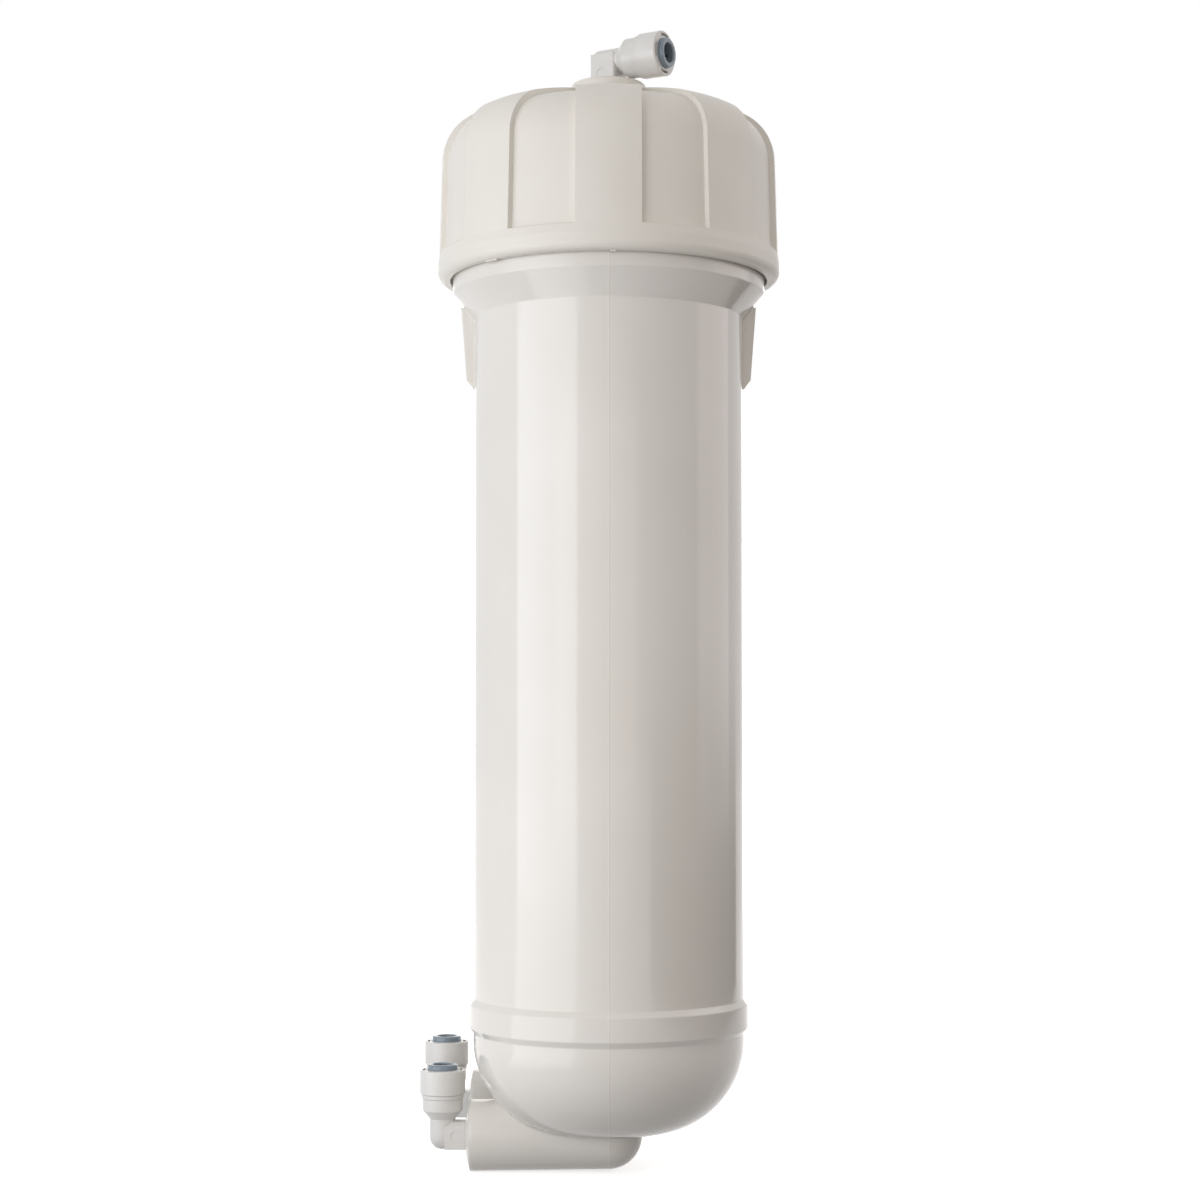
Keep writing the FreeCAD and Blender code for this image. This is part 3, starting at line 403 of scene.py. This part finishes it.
nibs = bmesh.new()
for nib in NIBS.values():
    cube = bmesh.ops.create_cube(nibs, size=1.0)["verts"]
    bmesh.ops.scale(nibs, verts=cube, vec=(nib["width"], NIB_DEPTH, NIB_HEIGHT))
    edges = list({edge for vert in cube for edge in vert.link_edges})
    bevelled = bmesh.ops.bevel(nibs, geom=edges, offset=NIB_ROUND, segments=2, profile=0.5,
                               affect="EDGES", material=-1)
    shaped = list({vert for face in bevelled["faces"] for vert in face.verts})
    bmesh.ops.translate(nibs, verts=shaped, vec=(0, -NIB_RADIUS, RIM_FOOT))
    bmesh.ops.rotate(nibs, verts=shaped, cent=(0, 0, 0), matrix=turn(-nib["angle"]))
cap_nibs = to_object("cap_nibs", nibs, finishes["cap_plastic"])
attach(cap_nibs, "cap")
print("nib faces:", len(cap_nibs.data.polygons))

# %% [markdown]
# ## Camera
# The photograph looks slightly up at the cap and slightly down on the foot, from
# about 0.8 m, level with a point a third of the way up. Part of its framing is a
# shifted lens, which keeps upright lines upright. A large shift would push the object
# out of other views, so the camera tilts for most of it and shifts for the rest.

# %% Place the camera
CAMERA_BACK = 780.5 * MM
CAMERA_HEIGHT = -16.2 * MM
CAMERA_TILT = 2.05
AIM_LEFT = 2.9 * MM
LENS = 69.9
SENSOR = 36.0
LENS_SHIFT = 0.045

camera_data = bpy.data.cameras.new("camera")
camera_data.lens = LENS
camera_data.sensor_width = SENSOR
camera_data.shift_y = LENS_SHIFT
camera = bpy.data.objects.new("camera", camera_data)
bpy.context.scene.collection.objects.link(camera)
camera.location = (0, -CAMERA_BACK, CAMERA_HEIGHT)
aim_rise = math.tan(math.radians(CAMERA_TILT)) * CAMERA_BACK
aim = Vector((-AIM_LEFT, 0, CAMERA_HEIGHT + aim_rise))
camera.rotation_mode = "QUATERNION"
camera.rotation_quaternion = (aim - camera.location).to_track_quat("-Z", "Y")
bpy.context.scene.camera = camera
print("camera distance in mm:", round(CAMERA_BACK / MM), "tilt in degrees:", CAMERA_TILT)

# %% [markdown]
# ## Light
# One tall softbox stands to the left and a little forward. Its two edges draw the
# crisp bright strip down the tube, so its width and angle are set by that strip. A low
# warm card in front lights the middle of the tube, a weak fill stands high on the
# right and one behind, and a strip before the foot lifts the lower end and stays out
# of the reflections. The room's even light does the rest.
#
# How strong should each be? Light adds up, so the scene can be rendered with one light
# at a time, and the photograph's tones compared with a sum of those renders. That gave
# first strengths for all but the light behind and the strip before the foot, which
# were added later. Everything was then corrected.

# %% Softbox and four fills
def softbox(name, angle, distance, width, height, rise, radiance, colour):
    """A soft rectangle of light that faces the vessel's axis. The angle is in degrees
    to the left of the camera, and radiance 1 is as bright as white paper."""
    lamp = bpy.data.lights.new(name, "AREA")
    lamp.shape = "RECTANGLE"
    lamp.size = width
    lamp.size_y = height
    lamp.energy = radiance * math.pi * width * height
    lamp.color = linear(colour)[:3]
    stand = bpy.data.objects.new(name, lamp)
    bearing = math.radians(angle)
    stand.location = (-math.sin(bearing) * distance, -math.cos(bearing) * distance, rise)
    stand.rotation_mode = "QUATERNION"
    to_axis = Vector((0, 0, rise)) - stand.location
    stand.rotation_quaternion = to_axis.to_track_quat("-Z", "Y")
    bpy.context.scene.collection.objects.link(stand)
    return stand


KEY_ANGLE = 54.0
KEY_DISTANCE = 1.2
KEY_WIDTH = 1.28
KEY_RADIANCE = 2.95
softbox("key_softbox", angle=KEY_ANGLE, distance=KEY_DISTANCE, width=KEY_WIDTH, height=1.2,
        rise=-0.22, radiance=KEY_RADIANCE, colour="f0f6ff")
softbox("front_card", angle=10, distance=0.9, width=1.2, height=0.32, rise=0.08,
        radiance=0.75, colour="ffe9d2")
softbox("right_fill", angle=-100, distance=0.8, width=0.6, height=0.8, rise=0.32,
        radiance=0.95, colour="fff4f6")
softbox("back_fill", angle=180, distance=1.1, width=0.8, height=0.9, rise=0.25,
        radiance=1.2, colour="fffaf5")
foot_fill = softbox("foot_fill", angle=0, distance=0.55, width=0.7, height=0.08, rise=-0.11,
                    radiance=1.0, colour="fff8f0")
foot_fill.visible_glossy = False
print("lamps:", len(bpy.data.lights))

# %% [markdown]
# The floor cuts the lower half of the softbox off, and with it the lower end of the
# bright strip on the tube. A photographer would lay a white card on the floor before
# the light. Here the card is a sheet whose two sides run along lines from the vessel's
# axis to the softbox's edges, so its reflection carries the strip straight on down to
# the foot. To a reflection it is as bright as the softbox and fades near the vessel;
# as a light it is weaker, as a card is. The camera doesn't see it.

# %% Shape of the card on the floor
CARD_NEAR = 0.1
CARD_LIFT = 1 * MM


def flat_sheet(size):
    """A square sheet of one face that lies about the origin."""
    shape = bmesh.new()
    bmesh.ops.create_grid(shape, x_segments=1, y_segments=1, size=size / 2)
    return shape


half_angle = math.atan(KEY_WIDTH / 2 / KEY_DISTANCE)
card_shape = flat_sheet(1.0)
for vert in card_shape.verts:
    reach = CARD_NEAR if vert.co.y > 0 else KEY_DISTANCE
    side = math.copysign(reach * math.tan(half_angle), vert.co.x)
    vert.co = Vector((side, -reach, cad_low.z + CARD_LIFT))
bmesh.ops.rotate(card_shape, verts=card_shape.verts, cent=(0, 0, 0), matrix=turn(-KEY_ANGLE))
print("card sides in degrees either way:", round(math.degrees(half_angle), 1))

# %% Light of the card on the floor
CARD_FADE = 0.08
CARD_RADIANCE = 1.0
LEVEL_ONLY = (1, 1, 0)


def bare_material(name):
    """A material whose node tree is still empty, and that tree."""
    material = bpy.data.materials.new(name)
    material.use_nodes = True
    material.node_tree.nodes.clear()
    return material, material.node_tree


lit_card, card_tree = bare_material("lit_card")
on_card = add(card_tree, "ShaderNodeTexCoord").outputs["Object"]
level_place = add(card_tree, "ShaderNodeVectorMath", {0: on_card, 1: LEVEL_ONLY},
                  operation="MULTIPLY")
from_axis = add(card_tree, "ShaderNodeVectorMath", {0: level_place.outputs["Vector"]},
                operation="LENGTH")
mirrored = add(card_tree, "ShaderNodeMapRange", {
    "Value": from_axis.outputs["Value"], "From Min": CARD_NEAR,
    "From Max": CARD_NEAR + CARD_FADE, "To Min": 1.0, "To Max": KEY_RADIANCE})
card_rays = add(card_tree, "ShaderNodeLightPath")
strength = add(card_tree, "ShaderNodeMix", {
    "Factor": card_rays.outputs["Is Glossy Ray"], "A": CARD_RADIANCE,
    "B": mirrored.outputs["Result"]})
lit = add(card_tree, "ShaderNodeEmission", {
    "Color": linear("ffffff"), "Strength": strength.outputs["Result"]})
add(card_tree, "ShaderNodeOutputMaterial", {"Surface": lit.outputs[0]})
card = to_object("floor_card", card_shape, lit_card)
card.visible_camera = False
print("card starts and is bright at, in m:", CARD_NEAR, CARD_NEAR + CARD_FADE)

# %% [markdown]
# Low on the right the photograph grows dark, on the tube's edge and under the dome. A
# photographer calls the dark board that does this a flag. This one stands low behind
# the right side. Its top fades out like net, so that its reflection on the tube has no
# hard end, and it is hidden from the camera itself, so that it never covers the vessel
# when the view turns.

# %% Flag low on the right
FLAG_ANGLE = -84.0
FLAG_DISTANCE = 0.4
FLAG_WIDTH = 0.95
FLAG_TOP = 45 * MM
FLAG_FULL = -110 * MM
FLAG_FOOT = -165 * MM
board, board_tree = bare_material("black_board")
dark = add(board_tree, "ShaderNodeBsdfDiffuse", {"Color": linear("62605e")})
clear = add(board_tree, "ShaderNodeBsdfTransparent")
on_board = add(board_tree, "ShaderNodeTexCoord").outputs["Object"]
level = add(board_tree, "ShaderNodeSeparateXYZ", {"Vector": on_board})
cover = add(board_tree, "ShaderNodeMapRange", {
    "Value": level.outputs["Z"], "From Min": FLAG_TOP, "From Max": FLAG_FULL},
    interpolation_type="SMOOTHSTEP")
fading = add(board_tree, "ShaderNodeMixShader", {
    0: cover.outputs["Result"], 1: clear.outputs[0], 2: dark.outputs[0]})
add(board_tree, "ShaderNodeOutputMaterial", {"Surface": fading.outputs[0]})

flag_shape = flat_sheet(1.0)
bmesh.ops.scale(flag_shape, verts=flag_shape.verts, vec=(FLAG_WIDTH, FLAG_TOP - FLAG_FOOT, 1.0))
bmesh.ops.rotate(flag_shape, verts=flag_shape.verts, cent=(0, 0, 0), matrix=turn(90, "X"))
bmesh.ops.translate(flag_shape, verts=flag_shape.verts,
                    vec=(0, -FLAG_DISTANCE, (FLAG_TOP + FLAG_FOOT) / 2))
bmesh.ops.rotate(flag_shape, verts=flag_shape.verts, cent=(0, 0, 0), matrix=turn(-FLAG_ANGLE))
flag = to_object("flag", flag_shape, board)
flag.visible_camera = False
print("flag stands at", FLAG_ANGLE, "degrees")

# %% [markdown]
# ## Floor and background
# The photograph's background is plain white. The floor and the world are white only
# for what the camera and the reflections see; for the light that falls on the object
# they are a quieter grey, so that the undersides stay as dark as they are. On the left
# the floor also glows a little, as a sheet lit from behind would, because the dome and
# the boss under it are brightly lit from below on that side.

# %% White floor
def seen_directly(tree):
    """A socket that is 1 for what the camera, a reflection or glass looks at, else 0."""
    path = add(tree, "ShaderNodeLightPath")
    rays = path.outputs["Is Camera Ray"]
    for kind in ("Is Glossy Ray", "Is Transmission Ray"):
        either = add(tree, "ShaderNodeMath", {0: rays, 1: path.outputs[kind]},
                     operation="MAXIMUM")
        rays = either.outputs[0]
    return rays


FLOOR_SIZE = 12.0
FLOOR_GLOW = 0.6
LEFT_GLOW = 0.2
GLOW_EDGE = 0.24
sweep, floor_tree = bare_material("white_sweep")
shine = add(floor_tree, "ShaderNodeEmission", {"Color": linear("ffffff"), "Strength": FLOOR_GLOW})
paper = add(floor_tree, "ShaderNodeBsdfDiffuse", {"Color": linear("ffffff")})
bright = add(floor_tree, "ShaderNodeAddShader", {0: shine.outputs[0], 1: paper.outputs[0]})
on_floor = add(floor_tree, "ShaderNodeTexCoord").outputs["Object"]
across = add(floor_tree, "ShaderNodeSeparateXYZ", {"Vector": on_floor})
leftness = add(floor_tree, "ShaderNodeMapRange", {
    "Value": across.outputs["X"], "From Min": GLOW_EDGE / 2, "From Max": -GLOW_EDGE / 2,
    "To Max": LEFT_GLOW}, interpolation_type="SMOOTHSTEP")
rising = add(floor_tree, "ShaderNodeEmission", {
    "Color": linear("ffffff"), "Strength": leftness.outputs["Result"]})
dull_paper = add(floor_tree, "ShaderNodeBsdfDiffuse", {"Color": linear("707070")})
given_back = add(floor_tree, "ShaderNodeAddShader", {
    0: rising.outputs[0], 1: dull_paper.outputs[0]})
floor_shader = add(floor_tree, "ShaderNodeMixShader", {
    0: seen_directly(floor_tree), 1: given_back.outputs[0], 2: bright.outputs[0]})
add(floor_tree, "ShaderNodeOutputMaterial", {"Surface": floor_shader.outputs[0]})

floor_shape = flat_sheet(FLOOR_SIZE)
bmesh.ops.translate(floor_shape, verts=floor_shape.verts, vec=(0, 0, cad_low.z))
floor = to_object("floor", floor_shape, sweep)
print("floor height in mm:", round(cad_low.z / MM, 1))

# %% Quiet world
QUIET_STRENGTH = 0.57
world = bpy.data.worlds.new("studio")
bpy.context.scene.world = world
world.use_nodes = True
sky = world.node_tree
sky.nodes.clear()
quiet = add(sky, "ShaderNodeBackground", {"Color": linear("fffbf8"), "Strength": QUIET_STRENGTH})
white = add(sky, "ShaderNodeBackground", {"Color": linear("ffffff"), "Strength": 1.0})
sky_shader = add(sky, "ShaderNodeMixShader", {
    0: seen_directly(sky), 1: quiet.outputs[0], 2: white.outputs[0]})
add(sky, "ShaderNodeOutputWorld", {"Surface": sky_shader.outputs[0]})
print("the world's light on the vessel:", QUIET_STRENGTH)

# %% [markdown]
# ## Finish
# The colour view is set to Standard.

# %% Set the colour view
bpy.context.scene.view_settings.view_transform = "Standard"
